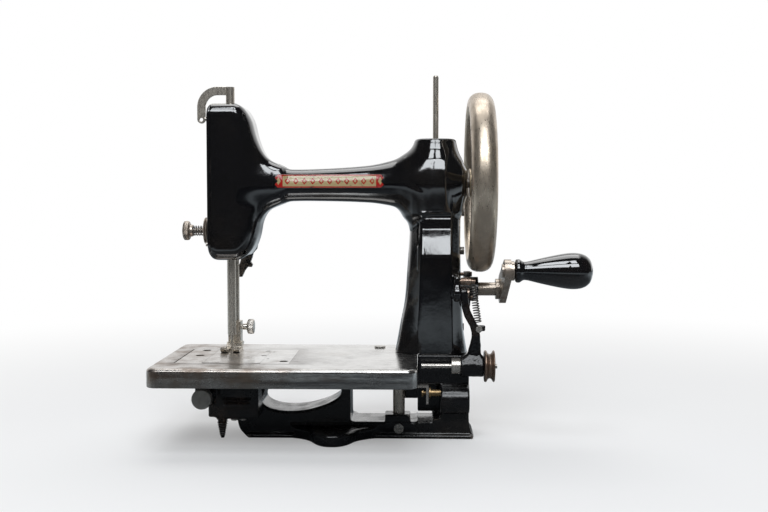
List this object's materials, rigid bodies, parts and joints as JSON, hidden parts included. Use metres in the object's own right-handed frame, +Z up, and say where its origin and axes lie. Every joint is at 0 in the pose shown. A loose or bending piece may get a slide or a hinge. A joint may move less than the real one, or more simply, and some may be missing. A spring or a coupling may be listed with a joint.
{
  "type": "hand crank sewing machine",
  "caption": "Small portable hand-crank sewing machine: black cast-iron arm and base, nickelled bed, geared side crank, round-rim handwheel and bobbin winder.",
  "frame": {"origin": "on the table plane, on the underside of the base, straight below the spool pin and the arm shaft axis", "axes": "+X towards the handwheel and crank, +Y away from the operator, +Z up"},
  "size_m": [0.3227, 0.1595, 0.2803],
  "materials": {
    "black_enamel": "glossy black stoved enamel on cast iron, chipped on edges",
    "nickel": "worn nickel plate with brown tarnish",
    "steel": "oiled machined steel",
    "brass": "dull aged brass",
    "lacquered_wood": "turned wood in glossy black lacquer"
  },
  "bodies": {
    "frame": {"base_frame": "black_enamel", "bed_plate": "nickel", "needle_plate": "nickel", "insert_plate": "nickel", "plate_screws": "steel", "bed_screws": "nickel", "support_post": "nickel", "arm_casting": "black_enamel", "rear_cover": "black_enamel", "cover_screws": "nickel", "face_plate": "black_enamel", "face_plate_screws": "nickel", "thread_guide": "nickel", "spool_pin": "nickel", "shaft_bushes": "brass", "head_bushes": "steel", "crank_bearing": "black_enamel", "bearing_screws": "brass", "idler_studs": "steel", "looper_housing": "black_enamel", "looper_tension": "black_enamel", "regulator_stud": "brass", "presser_spring": "steel", "tension_parts": "nickel", "tension_spring": "steel", "winder_studs": "nickel", "winder_spring": "steel"},
    "crank": {"crank_shaft": "nickel", "crank_gear": "steel", "crank_arm": "nickel", "handle_spindle": "nickel"},
    "grip": {"handle_grip": "lacquered_wood"},
    "arm_drive": {"arm_shaft": "steel", "arm_gear": "steel", "needle_crank": "steel", "handwheel": "nickel", "wheel_screw": "nickel"},
    "upper_idler_1": {"upper_idler_gear_1": "steel"},
    "upper_idler_2": {"upper_idler_gear_2": "steel"},
    "lower_idler_1": {"lower_idler_gear_1": "steel"},
    "lower_idler_2": {"lower_idler_gear_2": "steel"},
    "lower_drive": {"lower_shaft": "steel", "lower_gear": "steel", "looper": "nickel"},
    "needle_assembly": {"needle_bar": "nickel", "needle_yoke": "steel", "take_up_hook": "nickel", "needle": "steel"},
    "presser": {"presser_bar": "nickel", "presser_foot": "nickel", "foot_screw": "nickel"},
    "lifter": {"presser_lifter": "black_enamel"},
    "tension_adjuster": {"tension_nut": "nickel"},
    "winder": {"winder_arm": "black_enamel"},
    "winder_drive": {"winder_spindle": "nickel", "winder_pulley": "brass"},
    "feed": {"feed_dog": "steel"},
    "stitch_adjuster": {"stitch_knob": "nickel"},
    "cover_plate": {"hinged_plate": "nickel"},
    "regulator": {"regulator_lever": "nickel"}
  },
  "joints": [
    {"name": "crank_turn", "type": "hinge", "parent": "frame", "child": "crank", "pos_m": [0.03, 0, 0.1145], "axis": [1, 0, 0], "continuous": true},
    {"name": "grip_spin", "type": "hinge", "parent": "crank", "child": "grip", "pos_m": [0.08, -0.04481, 0.1317], "axis": [1, 0, 0], "continuous": true},
    {"name": "arm_shaft_turn", "type": "hinge", "parent": "frame", "child": "arm_drive", "pos_m": [0, 0, 0.1975], "axis": [1, 0, 0], "continuous": true},
    {"name": "upper_idler_1_turn", "type": "hinge", "parent": "frame", "child": "upper_idler_1", "pos_m": [0.0075, 0, 0.1445], "axis": [1, 0, 0], "continuous": true},
    {"name": "upper_idler_2_turn", "type": "hinge", "parent": "frame", "child": "upper_idler_2", "pos_m": [0.0075, 0, 0.1745], "axis": [1, 0, 0], "continuous": true},
    {"name": "lower_idler_1_turn", "type": "hinge", "parent": "frame", "child": "lower_idler_1", "pos_m": [0.0075, 0, 0.0845], "axis": [1, 0, 0], "continuous": true},
    {"name": "lower_idler_2_turn", "type": "hinge", "parent": "frame", "child": "lower_idler_2", "pos_m": [0.0075, 0, 0.0595], "axis": [1, 0, 0], "continuous": true},
    {"name": "lower_shaft_turn", "type": "hinge", "parent": "frame", "child": "lower_drive", "pos_m": [0, 0, 0.0415], "axis": [1, 0, 0], "continuous": true},
    {"name": "needle_bar_slide", "type": "slide", "parent": "frame", "child": "needle_assembly", "axis": [0, 0, 1], "range_m": [0, 0.026]},
    {"name": "presser_bar_lift", "type": "slide", "parent": "frame", "child": "presser", "axis": [0, 0, 1], "range_m": [0, 0.006], "deforming": ["presser_spring"]},
    {"name": "lifter_turn", "type": "hinge", "parent": "frame", "child": "lifter", "pos_m": [-0.1485, 0.028, 0.1476], "axis": [0, -1, 0], "range_deg": [0, 75]},
    {"name": "tension_nut_turn", "type": "hinge", "parent": "frame", "child": "tension_adjuster", "pos_m": [-0.194, 0, 0.16], "axis": [1, 0, 0], "range_deg": [-360, 360]},
    {"name": "winder_swing", "type": "hinge", "parent": "frame", "child": "winder", "pos_m": [0.02, -0.028, 0.1134], "axis": [-1, 0, 0], "range_deg": [0, 45], "deforming": ["winder_spring"]},
    {"name": "winder_spin", "type": "hinge", "parent": "winder", "child": "winder_drive", "pos_m": [0.02, -0.028, 0.058], "axis": [1, 0, 0], "continuous": true},
    {"name": "feed_slide", "type": "slide", "parent": "frame", "child": "feed", "axis": [0, 1, 0], "range_m": [-0.0015, 0.0015]},
    {"name": "stitch_knob_turn", "type": "hinge", "parent": "frame", "child": "stitch_adjuster", "pos_m": [-0.172, -0.05, 0.0383], "axis": [0, 1, 0], "range_deg": [-150, 150]},
    {"name": "cover_plate_hinge", "type": "hinge", "parent": "frame", "child": "cover_plate", "pos_m": [-0.1918, -0.0275, 0.0637], "axis": [0, -1, 0], "range_deg": [0, 95]},
    {"name": "regulator_turn", "type": "hinge", "parent": "frame", "child": "regulator", "pos_m": [-0.0065, -0.02, 0.0358], "axis": [1, 0, 0], "range_deg": [-10, 10]}
  ],
  "couplings": [
    {"joint": "upper_idler_1_turn", "follows": "crank_turn", "ratio": -1},
    {"joint": "upper_idler_2_turn", "follows": "crank_turn", "ratio": 1},
    {"joint": "arm_shaft_turn", "follows": "crank_turn", "ratio": -1.875},
    {"joint": "lower_idler_1_turn", "follows": "crank_turn", "ratio": -1},
    {"joint": "lower_idler_2_turn", "follows": "crank_turn", "ratio": 1.5},
    {"joint": "lower_shaft_turn", "follows": "crank_turn", "ratio": -1.875},
    {"joint": "lifter_turn", "follows": "presser_bar_lift", "rad_per_m": 203.62}
  ]
}
